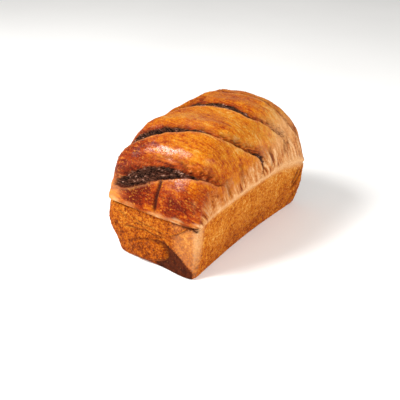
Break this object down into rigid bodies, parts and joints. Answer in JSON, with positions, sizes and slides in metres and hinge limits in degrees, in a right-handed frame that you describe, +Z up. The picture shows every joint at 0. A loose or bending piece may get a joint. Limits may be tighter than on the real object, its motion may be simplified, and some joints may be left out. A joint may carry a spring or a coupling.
{
  "type": "marble rye bread loaf",
  "caption": "Whole marbled rye loaf baked in an open tin: straight tin-shaped body, high domed crown with slashes across it, and a patch of dark dough on one end.",
  "frame": {"origin": "centre of the loaf's bounding box at the flat underside", "axes": "+Y along the loaf, away from the end with the dark patch; +X across it; +Z up from the underside"},
  "size_m": [0.142, 0.2484, 0.1638],
  "materials": {
    "browned_crust": "satin"
  },
  "bodies": {
    "root": {"loaf": "browned_crust"}
  },
  "joints": []
}
